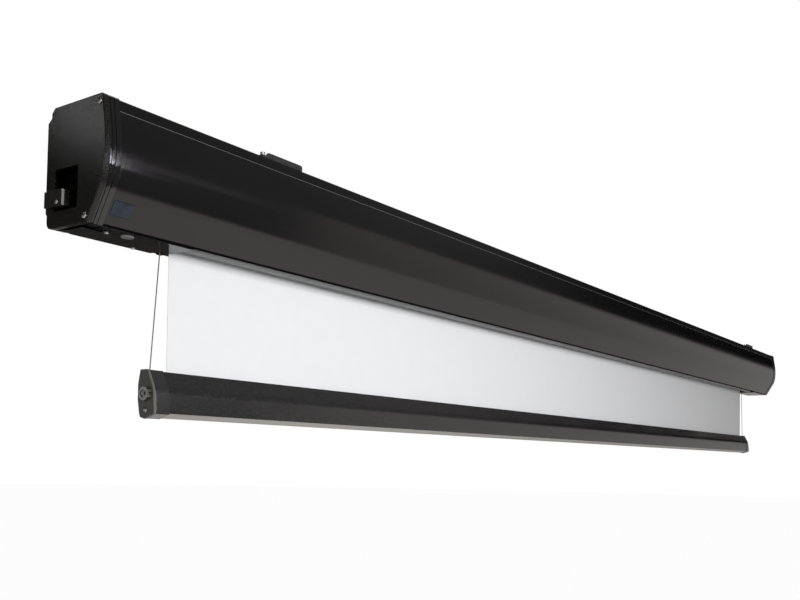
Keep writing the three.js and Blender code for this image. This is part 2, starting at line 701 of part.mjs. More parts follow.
function makeServiceCover() {
  const far = serviceCover.near + serviceCover.length;
  const corners = [
    [serviceCover.near, serviceCover.front], [far, serviceCover.front],
    [far, serviceCover.rear], [serviceCover.near, serviceCover.rear],
  ];
  const reaches = [serviceCover.square, serviceCover.corner, serviceCover.corner, serviceCover.square];
  const outline = corners.flatMap(
    (corner, i) => rounded(corners.at(i - 1), corner, corners[(i + 1) % 4], reaches[i], 2 * steps.corner));
  const topZ = coverFoot - fit;
  const footZ = topZ - serviceCover.thickness;
  const x = fromEnd(left, far - serviceScrew.fromTip);
  const tab = slab(oval([x, serviceScrew.y], serviceCover.tab, serviceCover.tab), footZ, topZ);
  addPiece("service_cover", joined(slab(planned(left, outline), footZ, topZ), tab), "texturedPlastic");
  const head = disc([-serviceScrew.proud, 0], serviceScrew.head, steps.screw);
  addPiece("service_cover_screw", upright(head, x, serviceScrew.y, footZ - fit), "steel");
}

// The weight bar: sections are measured from the sheet's plane and the bar's top
function barCurve() {
  const brow = [-bar.browOut, -bar.browDrop];
  const belly = [-bar.bellyOut, -bar.bellyDrop];
  const top = [-bar.topFront, 0];
  return [
    [bar.topBack, 0], [bar.shoulderBack, -bar.shoulderDrop], [bar.back, -bar.backHigh], [bar.back, -bar.backLow],
    [bar.heelBack, -bar.heelDrop], [bar.soleBack, bar.soleRise - bar.height], [-bar.keelOut, -bar.height],
    [-bar.sillOut, -bar.sillDrop], belly, ...rounded(belly, brow, top, bar.browRound), top,
  ];
}

function makeBar() {
  const half = bar.slot / 2;
  const path = [[half, -bar.slotDeep], [half, 0], ...barCurve(), [-half, 0], [-half, -bar.slotDeep]];
  const span = [-length / 2 + barEnd, length / 2 - barEnd];
  addPiece("weight_bar", prism(strip(path, bar.wall), span), "anodized", barGroup);

  const slatTop = -bar.slotDeep - fit;
  const slatHalf = hemSlat.width / 2;
  const slat = roundedBox([-slatHalf, slatTop - hemSlat.height], [slatHalf, slatTop], hemSlat.height / 2);
  addPiece("hem_slat", prism(slat, [-sheet.width / 2, sheet.width / 2]), "greyPlastic", barGroup);
}

function makeBarCap(side) {
  const outer = outward(barCurve(), barCap.proud, true);
  const inner = outward(outer, -barCap.wall, true);
  const shell = prism(outer, stretch(side, capEnd, barEnd - fit));
  const hollow = prism(inner, stretch(side, capEnd - overrun, barEnd + overrun));
  const cableX = cableFromEnd(0);
  const [low, high] = stretch(side, cableX - barCap.cableGap, cableX + barCap.cableGap);
  const y = cableY - sheet.behindFront;
  const slot = block([low, y - barCap.cableGap, -overrun], [high, y + barCap.cableGap, overrun]);
  addPiece(`bar_cap_${side.name}`, cut(shell, hollow, slot), "glossPlastic", barGroup);

  const edge = outward(barCurve(), barCap.plateProud, true);
  const plate = prism(edge, stretch(side, plateEnd, plateEnd + barCap.plate));
  const through = stretch(side, plateEnd - overrun, plateEnd + barCap.plate + overrun);
  const shaftHole = disc(through, knob.shaft + fit, steps.screw).translate(0, -knob.aheadOfSheet, -knob.drop);
  const screwPlace = [-capScrew.aheadOfSheet, -bar.height + capScrew.rise];
  const screwHole = placedAcross(disc(through, capScrew.shank + fit, steps.screw), screwPlace);
  addPiece(`bar_end_plate_${side.name}`, cut(plate, shaftHole, screwHole), "texturedPlastic", barGroup);

  const face = plateEnd - fit;
  const screw = joined(
    disc(stretch(side, face - capScrew.proud, face), capScrew.head, steps.screw),
    disc(stretch(side, face - capScrew.proud / 2, face + capScrew.reach), capScrew.shank, steps.screw));
  addPiece(`cap_screw_${side.name}`, placedAcross(screw, screwPlace), "steel", barGroup);
}

// The knobs wind the side cables onto their drums
function makeKnob(side) {
  const group = new THREE.Group();
  group.position.set(0, knobY, knobZ);
  screen.add(group);
  const face = plateEnd - fit - knob.depth;
  const drumFar = cableFromEnd(knob.drop) + drum.width / 2 + drum.flange;
  const count = steps.flute * knob.flutes;
  const outline = Array.from({ length: count }, (_, i) => {
    const angle = -2 * Math.PI * i / count;
    const radius = knob.radius - knob.flute * (1 - Math.cos(knob.flutes * angle)) / 2;
    return [radius * Math.cos(angle), radius * Math.sin(angle)];
  });
  const grip = cut(
    prism(outline, stretch(side, face, plateEnd - fit)),
    disc(stretch(side, face - overrun, face + knob.hollowDeep), knob.hollow, steps.drum));
  const shaft = disc(stretch(side, face + knob.hollowDeep / 2, drumFar + fit), knob.shaft, steps.screw);
  const hub = disc(stretch(side, face - knob.hubProud, face + knob.hollowDeep + fit), knob.hub, steps.screw);
  addPiece(`tension_knob_${side.name}`, joined(grip, shaft, hub), "glossPlastic", group);

  const core = cableY - knobY - cable.radius - fit;
  const middle = cableFromEnd(knob.drop);
  const bore = knob.shaft + fit;
  const near = middle - drum.width / 2;
  const far = middle + drum.width / 2;
  const spool = joined(
    ring(stretch(side, near - drum.flange, far + drum.flange), bore, core, steps.drum),
    ring(stretch(side, near - drum.flange, near), bore, core + drum.flangeRise, steps.drum),
    ring(stretch(side, far, far + drum.flange), bore, core + drum.flangeRise, steps.drum));
  addPiece(`tension_drum_${side.name}`, spool, "greyPlastic", group);
}

// The sheet and the cables hang from the roller's rear tangent
function makeSheet() {
  const half = sheet.thickness / 2;
  const foot = barTop - bar.slotDeep;
  const outline = [[-half, foot], [half, foot], [half, rollerZ], [-half, rollerZ]];
  const piece = prism(outline, [-sheet.width / 2, sheet.width / 2]);
  addPiece("screen_sheet", piece.translate(0, sheet.behindFront, 0), "sheetWhite");
}

// The cables lean outwards on their way down, in step with their depth below the roller
function cableFromEnd(belowBarTop) {
  const share = (rollerZ - barTop + belowBarTop) / (rollerZ - knobZ);
  return cable.fromEnd - cable.lean * share;
}

function makeCable(side) {
  const section = oval([0, 0], cable.radius, cable.radius, steps.lead);
  const shape = new THREE.Shape(section.map(([u, v]) => new THREE.Vector2(u, v)));
  const topX = fromEnd(side, cable.fromEnd);
  const footX = fromEnd(side, cableFromEnd(knob.drop));
  const foot = new THREE.Vector3(footX, cableY, knobZ);
  const path = new THREE.LineCurve3(foot, new THREE.Vector3(topX, cableY, rollerZ));
  const piece = new THREE.ExtrudeGeometry(shape, { steps: 1, extrudePath: path, bevelEnabled: false });
  addPiece(`tension_cable_${side.name}`, piece, "cableGrey");
}

// Brackets that carry the casing on a wall or under a ceiling
function makeBracket(side) {
  const middle = fromEnd(side, bracket.fromEnd);
  const low = middle - bracket.width / 2;
  const high = middle + bracket.width / 2;
  const plateTop = fit + bracket.thickness;
  const leg = wallPlane - bracket.thickness;
  const lipTop = plateTop + bracket.lipRise;
  const front = [[low, fit], [high, fit], [high, lipTop], [low, lipTop]];
  const lipOutline = [
    front[0], front[1], ...rounded(front[1], front[2], front[3], bracket.lipRound),
    ...rounded(front[2], front[3], front[0], bracket.lipRound),
  ];
  const plate = block([low, bracket.front, fit], [high, wallPlane, plateTop]);
  const lip = panel(lipOutline, bracket.front, bracket.front + bracket.thickness);
  const wallLeg = block([low, leg, -bracket.legDrop], [high, wallPlane, plateTop]);
  const hookTop = -casing.railDrop - bracket.hookInset;
  const hookY = casing.depth - casing.railInset + fit;
  const hook = block([low, hookY, hookTop - bracket.hookHeight], [high, wallPlane, hookTop]);
  const tab = block(
    [low - bracket.tabLong, bracket.front, fit], [middle, bracket.front + bracket.tabDeep, plateTop]);
  const slots = [-1, 1].map((way) => {
    const x = middle + way * bracket.slotsApart / 2;
    const outline = roundedBox(
      [x - bracket.slotWide / 2, -bracket.slotDrop - bracket.slotTall / 2],
      [x + bracket.slotWide / 2, -bracket.slotDrop + bracket.slotTall / 2], bracket.slotWide / 2);
    return panel(outline, leg - overrun, wallPlane + overrun);
  });
  addPiece(`mounting_bracket_${side.name}`, cut(joined(plate, lip, wallLeg, hook, tab), ...slots), "darkSteel");

  const head = disc([0, bracketScrew.height], bracketScrew.head, steps.screw);
  const socketFoot = bracketScrew.height - bracketScrew.socketDeep;
  const socket = disc([socketFoot, bracketScrew.height + overrun], bracketScrew.socket, steps.screw);
  const x = low - bracket.tabLong + bracketScrew.fromTip;
  const screw = upright(cut(head, socket), x, bracket.front + bracket.tabDeep / 2, plateTop + fit);
  addPiece(`bracket_screw_${side.name}`, screw, "steel");
}

makeCasing();
makePocket();
makeSockets();
makeInlet();
makeSensor();
makeControlBox();
makeLeads();
makeRoller(makeMotor());
makeIdlerBracket();
makeButton();
makeServiceCover();
makeBar();
makeSheet();
for (const side of [left, right]) {
  makeEndPlate(side);
  makeEndRim(side);
  makeEndScrews(side);
  makeBottomCover(side);
  makeCoverScrew(side);
  makeBarCap(side);
  makeKnob(side);
  makeCable(side);
  makeBracket(side);
}

export default screen;
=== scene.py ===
import json
import math

import bpy
from mathutils import Matrix, Vector


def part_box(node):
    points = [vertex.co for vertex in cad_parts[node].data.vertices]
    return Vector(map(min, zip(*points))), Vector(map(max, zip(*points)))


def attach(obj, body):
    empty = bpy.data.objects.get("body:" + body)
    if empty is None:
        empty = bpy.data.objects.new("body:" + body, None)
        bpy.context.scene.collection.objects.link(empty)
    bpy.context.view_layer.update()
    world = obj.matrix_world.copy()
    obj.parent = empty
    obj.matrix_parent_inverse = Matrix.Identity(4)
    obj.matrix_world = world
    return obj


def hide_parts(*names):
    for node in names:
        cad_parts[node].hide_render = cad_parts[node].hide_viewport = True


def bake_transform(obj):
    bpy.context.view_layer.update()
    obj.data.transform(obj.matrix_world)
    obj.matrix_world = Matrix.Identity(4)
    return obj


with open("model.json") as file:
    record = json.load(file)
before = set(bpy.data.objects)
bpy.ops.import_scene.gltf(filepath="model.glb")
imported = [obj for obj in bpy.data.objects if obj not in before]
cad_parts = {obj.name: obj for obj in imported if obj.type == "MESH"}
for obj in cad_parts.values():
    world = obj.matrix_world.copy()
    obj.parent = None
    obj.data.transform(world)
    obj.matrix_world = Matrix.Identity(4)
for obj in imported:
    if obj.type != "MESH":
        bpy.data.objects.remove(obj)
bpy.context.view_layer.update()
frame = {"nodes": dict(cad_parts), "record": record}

# A tensioned motorized projector screen. Lengths are in metres.
# x runs along the casing, y towards the wall and z upwards from the casing's top.
MM = 0.001
HAIR = 0.02 * MM
SIDES = ("left", "right")
LEFT, RIGHT, DOWN = (-1, 0, 0), (1, 0, 0), (0, 0, -1)

scene = bpy.context.scene
scene.view_settings.view_transform = "Standard"


# Camera: below the casing's top, beyond its left end, looking along it
def look_from(position, yaw, pitch, roll, focal_share, rise_share):
    """Yaw is measured from +Y towards +X. The shares are of the picture's width."""
    cy, sy = math.cos(yaw), math.sin(yaw)
    cp, sp = math.cos(pitch), math.sin(pitch)
    ahead = Vector((sy * cp, cy * cp, sp))
    right = Vector((cy, -sy, 0))
    up = right.cross(ahead)
    turned_right = right * math.cos(roll) + up * math.sin(roll)
    turned_up = up * math.cos(roll) - right * math.sin(roll)
    data = bpy.data.cameras.new("camera")
    camera = bpy.data.objects.new("camera", data)
    scene.collection.objects.link(camera)
    columns = (turned_right, turned_up, -ahead)
    camera.matrix_world = Matrix.Translation(position) @ Matrix(
        [[c[row] for c in columns] for row in range(3)]
    ).to_4x4()
    data.sensor_width = 36
    data.lens = data.sensor_width * focal_share
    data.shift_y = rise_share
    data.clip_start = 0.01
    data.clip_end = 300
    scene.camera = camera


look_from(
    position=Vector((-2.1455, -0.9976, -0.4129)),
    yaw=math.radians(54.403),
    pitch=math.radians(2.454),
    roll=math.radians(1.029),
    focal_share=932.9 / 800,
    rise_share=0.15,
)


# Materials
class Shader:
    """A Principled material, with short calls for the nodes that feed it."""

    def __init__(self, name, color, roughness, **constants):
        """The constants go to the shader's own sockets, by their names in small letters."""
        self.material = bpy.data.materials.new(name)
        self.material.use_nodes = True
        self.tree = self.material.node_tree
        self.bsdf = self.tree.nodes["Principled BSDF"]
        self.color = color
        self.roughness = roughness
        self.bsdf.inputs["Base Color"].default_value = (*color, 1)
        self.bsdf.inputs["Roughness"].default_value = roughness
        for key, value in constants.items():
            socket = key.replace("_", " ").title().replace("Ior", "IOR")
            self.bsdf.inputs[socket].default_value = value
        self.relief = None

    def node(self, kind, **settings):
        node = self.tree.nodes.new(kind)
        for key, value in settings.items():
            setattr(node, key, value)
        return node

    def link(self, a, b):
        self.tree.links.new(a, b)

    def coordinates(self, scale=(1, 1, 1)):
        """The point on the piece in metres, stretched by scale."""
        source = self.node("ShaderNodeTexCoord")
        mapping = self.node("ShaderNodeMapping")
        mapping.inputs["Scale"].default_value = scale
        self.link(source.outputs["Object"], mapping.inputs["Vector"])
        return mapping.outputs["Vector"]

    def axes(self):
        """The x, y and z of the point on the piece, in metres."""
        node = self.node("ShaderNodeSeparateXYZ")
        self.link(self.coordinates(), node.inputs[0])
        return node.outputs

    def noise(self, scale, detail, stretch=(1, 1, 1)):
        """Noise with features about 1/scale metres wide, longer where stretch is under 1."""
        node = self.node("ShaderNodeTexNoise")
        node.inputs["Scale"].default_value = scale
        node.inputs["Detail"].default_value = detail
        self.link(self.coordinates(stretch), node.inputs["Vector"])
        return node.outputs["Fac"]

    def wave(self, scale, direction, distortion=0.0):
        """Bands across a direction."""
        node = self.node("ShaderNodeTexWave", bands_direction=direction)
        node.inputs["Scale"].default_value = scale
        node.inputs["Distortion"].default_value = distortion
        self.link(self.coordinates(), node.inputs["Vector"])
        return node.outputs["Fac"]

    def ramp(self, factor, low, high, start=0.3, end=0.7):
        """From one value or colour to another as the factor goes from start to end."""
        node = self.node("ShaderNodeValToRGB")
        for element, place, value in zip(node.color_ramp.elements, (start, end), (low, high)):
            element.position = place
            element.color = (*value, 1) if hasattr(value, "__len__") else (value, value, value, 1)
        self.link(factor, node.inputs["Fac"])
        return node.outputs["Color"]

    def mix(self, factor, a, b):
        """One colour where the factor is 0, the other where it is 1."""
        node = self.node("ShaderNodeMix", data_type="RGBA")
        for socket, value in ((node.inputs[0], factor), (node.inputs[6], a), (node.inputs[7], b)):
            if isinstance(value, bpy.types.NodeSocket):
                self.link(value, socket)
            else:
                socket.default_value = (*value, 1) if hasattr(value, "__len__") else value
        return node.outputs[2]

    def rise(self, value, place, blur, height=1.0):
        """From 0 to a height as a value passes a place, over a blur on either side of it."""
        node = self.node("ShaderNodeMapRange")
        for name, number in (("From Min", place - blur), ("From Max", place + blur), ("To Max", height)):
            node.inputs[name].default_value = number
        self.link(value, node.inputs["Value"])
        return node.outputs["Result"]

    def painted(self):
        """What the base colour is fed by."""
        return self.bsdf.inputs["Base Color"].links[0].from_socket

    def paint(self, color):
        self.link(color, self.bsdf.inputs["Base Color"])

    def tint(self, factor, share, start=0.3, end=0.7):
        """Lets the colour wander by a share either way."""
        low = tuple(c * (1 - share) for c in self.color)
        high = tuple(c * (1 + share) for c in self.color)
        self.paint(self.ramp(factor, low, high, start, end))

    def gloss(self, factor, spread):
        """Lets the roughness wander either way."""
        low, high = self.roughness - spread, self.roughness + spread
        self.link(self.ramp(factor, low, high), self.bsdf.inputs["Roughness"])

    def bump(self, factor, height):
        """Raises the surface by a height in metres, over any relief it already has."""
        node = self.node("ShaderNodeBump")
        node.inputs["Distance"].default_value = height
        node.inputs["Strength"].default_value = 1.0
        self.link(factor, node.inputs["Height"])
        if self.relief is not None:
            self.link(self.relief, node.inputs["Normal"])
        self.relief = node.outputs["Normal"]
        self.link(self.relief, self.bsdf.inputs["Normal"])


# A tint between these two is a speckle with clear edges
SPECKLE = (0.38, 0.62)


def own_box(node):
    """The low and high corner of a CAD piece, on its own axes."""
    to_piece = frame["nodes"][node].matrix_world.inverted()
    return [to_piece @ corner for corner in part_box(node)]


def anodized(name):
    """Gloss black, with faint lines along x from the extrusion."""
    s = Shader(name, (0.005, 0.005, 0.0056), 0.12, specular_tint=(1, 0.96, 0.93, 1))
    lines = s.noise(700, 2, (0.004, 1, 1))
    s.tint(s.noise(30, 4, (0.15, 1, 1)), 0.14)
    s.gloss(lines, 0.02)
    s.bump(lines, 0.003 * MM)
    return s


def cover_finish():
    """The front cover's: a pale line is painted along its upper edge at the seam as the seam's highlight, and
    its lip is dull and black.
    """
    painted_highlight, highlight_wide, lip_wide, blur = (0.085, 0.085, 0.088), 1.1 * MM, 1.8 * MM, 0.1 * MM
    usual_specular = 0.5
    foot, top = own_box("front_cover")
    s = anodized("gloss black anodized front")
    z = s.axes()["Z"]
    # Painted highlight: a pale band along the top edge, where the seam catches the light
    s.paint(s.mix(s.rise(z, top.z - highlight_wide, blur), s.painted(), painted_highlight))
    s.link(s.rise(z, foot.z + lip_wide, blur, usual_specular), s.bsdf.inputs["Specular IOR Level"])
    return s.material


def satin(name, color, roughness, speckle):
    """Blasted black anodizing, whose grain sparkles a little."""
    s = Shader(name, color, roughness, specular_ior_level=1.0)
    grain = s.noise(500, 2)
    s.tint(grain, speckle, *SPECKLE)
    s.gloss(s.noise(25, 3, (0.3, 1, 1)), 0.03)
    s.bump(grain, 0.05 * MM)
    s.bump(s.noise(2600, 2), 0.02 * MM)
    return s


def bar_finish():
    """The weight bar's, with a beige strip on its sole, which faces down and a little to the front: partly
    the sole's own tone and partly a painted reflection of the floor.
    """
    sole_tone_and_reflection, deep, blur = (0.3, 0.285, 0.255), 0.5 * MM, 0.05 * MM
    sole_faces = Vector((0, -0.3, -0.954))
    s = satin("satin black anodized aluminium", (0.0125, 0.012, 0.0128), 0.2, 0.8)
    outward = s.node("ShaderNodeVectorMath", operation="DOT_PRODUCT")
    s.link(s.coordinates(), outward.inputs[0])
    outward.inputs[1].default_value = sole_faces
    reach = max(sole_faces.dot(v.co) for v in frame["nodes"]["weight_bar"].data.vertices)
    # Partly the sole's own beige and partly a painted reflection of the floor
    s.paint(s.mix(s.rise(outward.outputs["Value"], reach - deep, blur), s.painted(), sole_tone_and_reflection))
    return s.material


PEBBLED_BLACK = (0.009, 0.0088, 0.008)


def textured_plastic(name, color, roughness, grain=800, speckle=0.7):
    """Pebbled, with features about 1/grain metres wide, and as deep as a share of that."""
    depth_share = 0.16
    s = Shader(name, color, roughness, specular_ior_level=0.4)
    s.tint(s.noise(550, 1), speckle, *SPECKLE)
    s.gloss(s.noise(600, 2), 0.015)
    s.bump(s.noise(grain, 1), depth_share / grain)
    return s


def inlet_finish():
    """The power inlet's, with a highlight painted on each of its two upright outer edges."""
    painted_highlight, highlight_wide, highlight_deep, blur = (0.3, 0.3, 0.305), 1.0 * MM, 3.2 * MM, 0.1 * MM
    low, high = own_box("power_inlet")
    s = textured_plastic("black textured inlet", PEBBLED_BLACK, 0.3)
    x, y, _ = s.axes()
    tinted = s.painted()
    # Painted highlights: pale strips on the front and back upright edges of the outer end
    front_highlighted = s.mix(s.rise(y, low.y + highlight_wide, blur), painted_highlight, tinted)
    highlighted_edges = s.mix(s.rise(y, high.y - highlight_wide, blur), front_highlighted, painted_highlight)
    s.paint(s.mix(s.rise(x, low.x + highlight_deep, blur), highlighted_edges, tinted))
    return s.material


def gloss_plastic():
    s = Shader("black gloss plastic", (0.005, 0.005, 0.006), 0.1, coat_weight=0.4, coat_roughness=0.04)
    s.tint(s.noise(120, 3), 0.2)
    s.gloss(s.noise(400, 4), 0.04)
    s.bump(s.noise(90, 2), 0.03 * MM)
    return s.material


def matte_plastic(name, color, roughness):
    s = Shader(name, color, roughness, specular_ior_level=0.16)
    s.tint(s.noise(150, 4), 0.15)
    s.gloss(s.noise(500, 2), 0.03)
    s.bump(s.noise(1400, 3), 0.02 * MM)
    return s.material


def button_plastic():
    s = Shader("grey button plastic", (0.2, 0.2, 0.185), 0.22, coat_weight=0.4, coat_roughness=0.08)
    s.tint(s.noise(200, 3), 0.05)
    s.bump(s.noise(900, 2), 0.01 * MM)
    return s.material


def sensor_plastic():
    s = Shader("sensor window", (0.017, 0.028, 0.041), 0.1, specular_ior_level=0.2)
    s.tint(s.noise(70, 2), 0.35)
    s.gloss(s.noise(300, 2), 0.03)
    return s.material


def dark_steel():
    s = Shader("powder coated steel", (0.018, 0.018, 0.018), 0.42)
    s.tint(s.noise(180, 4), 0.2)
    s.gloss(s.noise(80, 3), 0.08)
    s.bump(s.noise(1800, 3), 0.025 * MM)
    return s.material


def steel(name="zinc plated steel", color=(0.5, 0.5, 0.51), roughness=0.33):
    s = Shader(name, color, roughness, metallic=1.0)
    s.tint(s.noise(500, 5), 0.12)
    s.gloss(s.noise(900, 4), 0.1)
    s.bump(s.noise(3000, 2), 0.006 * MM)
    return s.material


def board():
    s = Shader("circuit board", (0.015, 0.07, 0.035), 0.4)
    between_pads = (0.05, 0.12, 0.06)
    pads = s.node("ShaderNodeTexBrick", offset=0.5)
    pads.inputs["Scale"].default_value = 260
    s.link(s.coordinates(), pads.inputs["Vector"])
    s.paint(s.mix(s.ramp(pads.outputs["Fac"], 0, 1, 0.4, 0.6), s.color, between_pads))
    s.bump(pads.outputs["Fac"], 0.05 * MM)
    return s.material


def sheet_front():
    s = Shader("white screen surface", (0.832, 0.836, 0.846), 0.85, sheen_weight=0.05)
    s.tint(s.noise(35, 3), 0.008)
    s.gloss(s.noise(400, 2), 0.04)
    s.bump(s.noise(2600, 3), 0.02 * MM)
    return s.material


def sheet_back():
    s = Shader("grey sheet backing", (0.24, 0.24, 0.245), 0.6)
    s.tint(s.noise(60, 3), 0.05)
    s.gloss(s.noise(500, 2), 0.05)
    s.bump(s.wave(700, "X", 0.6), 0.02 * MM)
    return s.material


def wire_rope():
    s = Shader("coated wire rope", (0.17, 0.17, 0.17), 0.4, metallic=0.4)
    strands = s.wave(900, "DIAGONAL")
    s.tint(strands, 0.35)
    s.bump(strands, 0.08 * MM)
    return s.material


def lead_sheath():
    s = Shader("lead sheath", (0.01, 0.01, 0.01), 0.5)
    s.tint(s.noise(200, 3), 0.2)
    s.bump(s.noise(1200, 3), 0.03 * MM)
    return s.material


def brass():
    s = Shader("nickel plated brass", (0.62, 0.55, 0.4), 0.25, metallic=1.0)
    s.gloss(s.noise(800, 3), 0.08)
    return s.material


# One material for each slot that the record names, and the others that the scene uses
finish = {
    "anodized": anodized("gloss black anodized aluminium").material,
    "textured_plastic": textured_plastic("black textured plastic", PEBBLED_BLACK, 0.22).material,
    "gloss_plastic": gloss_plastic(),
    "matte_plastic": matte_plastic("black matte plastic", (0.005, 0.005, 0.005), 0.15),
    "grey_plastic": matte_plastic("grey moulded plastic", (0.16, 0.15, 0.13), 0.45),
    "button_plastic": button_plastic(),
    "sensor_plastic": sensor_plastic(),
    "dark_steel": dark_steel(),
    "steel": steel(),
    "board": board(),
    "sheet": sheet_front(),
    "sheet_back": sheet_back(),
    "cable": wire_rope(),
    "lead": lead_sheath(),
}
black_steel = steel("blackened steel", (0.34, 0.34, 0.345), 0.24)
dark_nickel = steel("dark nickel plating", (0.24, 0.235, 0.23), 0.3)
# The bar's end plates: a lighter base that is partly their own olive grey and partly painted sheen
bar_end = textured_plastic("olive grey textured plastic and painted sheen", (0.12, 0.116, 0.098), 0.42, 1500, 0.2).material
cap_face = satin("satin black plastic", (0.022, 0.0215, 0.0225), 0.2, 0.25).material


# Mesh helpers. A part is a pair of vertices and faces.
def piece(name, vertices, faces, material, body=None, slot=None, crease=35):
    """An object in the scene, smooth but for the edges that turn by more than crease degrees."""
    mesh = bpy.data.meshes.new(name)
    mesh.from_pydata([tuple(v) for v in vertices], [], faces)
    mesh.validate()
    mesh.materials.append(material)
    obj = bpy.data.objects.new(name, mesh)
    scene.collection.objects.link(obj)
    shade(mesh, crease)
    if body:
        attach(obj, body)
    return obj


def shade(mesh, crease):
    """Smooth, but for the edges that turn by more than crease degrees."""
    mesh.polygons.foreach_set("use_smooth", [True] * len(mesh.polygons))
    mesh.set_sharp_from_angle(angle=math.radians(crease))


def round_angles(count):
    return [2 * math.pi * i / count for i in range(count)]


def lathe(profile, count):
    """A profile of (radius, z), walked outwards on its low side, turned about z."""
    vertices, rings = [], []
    for radius, z in profile:
        if radius < HAIR / 10:
            rings.append([len(vertices)] * count)
            vertices.append((0, 0, z))
            continue
        rings.append(list(range(len(vertices), len(vertices) + count)))
        vertices += [(radius * math.cos(a), radius * math.sin(a), z) for a in round_angles(count)]
    faces = []
    for low, high in zip(rings, rings[1:]):
        for i in range(count):
            j = (i + 1) % count
            corners = [low[i], low[j], high[j], high[i]]
            face = [c for k, c in enumerate(corners) if c != corners[k - 1]]
            if len(face) > 2:
                faces.append(face)
    return vertices, faces


def box_mesh(low, high):
    xs, ys, zs = zip(low, high)
    vertices = [(x, y, z) for z in zs for y in ys for x in xs]
    faces = [(0, 2, 3, 1), (4, 5, 7, 6), (0, 1, 5, 4), (2, 6, 7, 3), (0, 4, 6, 2), (1, 3, 7, 5)]
    return vertices, faces


def together(*parts):
    vertices, faces = [], []
    for some, theirs in parts:
        faces += [[i + len(vertices) for i in face] for face in theirs]
        vertices += list(some)
    return vertices, faces


def moved(part, matrix):
    vertices, faces = part
    return [matrix @ Vector(v) for v in vertices], faces


def facing(direction, at):
    """A matrix that turns +Z to a direction and carries the origin to a point."""
    turn = Vector(direction).to_track_quat("Z", "Y").to_matrix().to_4x4()
    return Matrix.Translation(at) @ turn


def joined_rings(first, rings, count):
    """Faces between rings of count vertices each, that follow one another from the vertex called first."""
    faces = []
    for ring in range(rings - 1):
        start = first + ring * count
        for i in range(count):
            a, b = start + i, start + (i + 1) % count
            faces.append((a, b, b + count, a + count))
    return faces


def tube(points, radius, sides):
    """A round tube with closed ends along points, in frames that turn as little as they can."""
    points = [Vector(p) for p in points]
    along = [(b - a).normalized() for a, b in zip(points, points[1:])]
    along = [along[0]] + [(a + b).normalized() for a, b in zip(along, along[1:])] + [along[-1]]
    across = along[0].orthogonal().normalized()
    vertices = []
    for point, direction in zip(points, along):
        across = (across - direction * across.dot(direction)).normalized()
        other = direction.cross(across)
        for a in round_angles(sides):
            vertices.append(point + radius * (across * math.cos(a) + other * math.sin(a)))
    faces = joined_rings(0, len(points), sides)
    faces.append(tuple(range(sides))[::-1])
    faces.append(tuple(range(len(vertices) - sides, len(vertices))))
    return vertices, faces


def carve(obj, *cutters):
    """Cuts closed parts out of a piece before it rides on anything."""
    tools = [piece(f"cutter_{i}", *cutter, None) for i, cutter in enumerate(cutters)]
    for tool in tools:
        modifier = obj.modifiers.new("cut", "BOOLEAN")
        modifier.object = tool
        modifier.operation = "DIFFERENCE"
        modifier.solver = "EXACT"
    graph = bpy.context.evaluated_depsgraph_get()
    mesh = bpy.data.meshes.new_from_object(obj.evaluated_get(graph))
    obj.modifiers.clear()
    obj.data = mesh
    for tool in tools:
        bpy.data.objects.remove(tool)
    shade(mesh, 35)


def smooth_line(points, count):
    """Points along a Catmull-Rom curve through the given vectors, count to each stretch."""
    ends = [points[0] * 2 - points[1]] + points + [points[-1] * 2 - points[-2]]
    line = []
    for a, b, c, d in zip(ends, ends[1:], ends[2:], ends[3:]):
        squared, cubed = 2 * a - 5 * b + 4 * c - d, 3 * b - a - 3 * c + d
        for i in range(count):
            t = i / count
            line.append(0.5 * (2 * b + (c - a) * t + squared * t**2 + cubed * t**3))
    return line + [points[-1]]


# CAD pieces: welded, some with their edges broken a little (in millimetres), and shaded smooth
def both_sides(table):
    """The table with a left and a right piece for each of its names."""
    return {f"{name}_{side}": value for name, value in table.items() for side in SIDES}


BROKEN_EDGE = {
    "housing": 0.3, "front_cover": 0.6, "weight_bar": 0.3, "service_cover": 0.45, "power_inlet": 0.8,
    "sensor_window": 0.2,
} | both_sides({
    "end_plate": 0.25, "end_rim": 0.3, "bottom_cover": 0.2, "mounting_bracket": 0.3, "bar_cap": 0.25,
    "bar_end_plate": 0.5, "tension_knob": 0.25,
})


def dress(node, material):
    """The scene's own material and shading for a CAD piece that may be shown."""
    obj = frame["nodes"][node]
    mesh = obj.data
    if "custom_normal" in mesh.attributes:
        mesh.attributes.remove(mesh.attributes["custom_normal"])
    mesh.polygons.foreach_set("use_smooth", [True] * len(mesh.polygons))
    weld = obj.modifiers.new("weld", "WELD")
    weld.merge_threshold = HAIR / 10
    if node in BROKEN_EDGE:
        bevel = obj.modifiers.new("broken edges", "BEVEL")
        bevel.width = BROKEN_EDGE[node] * MM
        bevel.segments = 2
        bevel.limit_method = "ANGLE"
        bevel.angle_limit = math.radians(40)
    split = obj.modifiers.new("creases", "EDGE_SPLIT")
    split.split_angle = math.radians(30)
    even = obj.modifiers.new("even shading", "WEIGHTED_NORMAL")
    even.mode = "FACE_AREA"
    mesh.materials.clear()
    mesh.materials.append(material)


# The pieces whose material isn't their slot's
own_material = {
    "weight_bar": bar_finish(), "front_cover": cover_finish(), "power_inlet": inlet_finish(),
    "service_cover": finish["gloss_plastic"],
} | both_sides({"bar_end_plate": bar_end, "bar_cap": cap_face, "tension_knob": dark_nickel})
slot_of = {row["node"]: row["material_slot"] for row in frame["record"]["subparts"]}
for node_name in frame["nodes"]:
    dress(node_name, own_material.get(node_name, finish[slot_of[node_name]]))


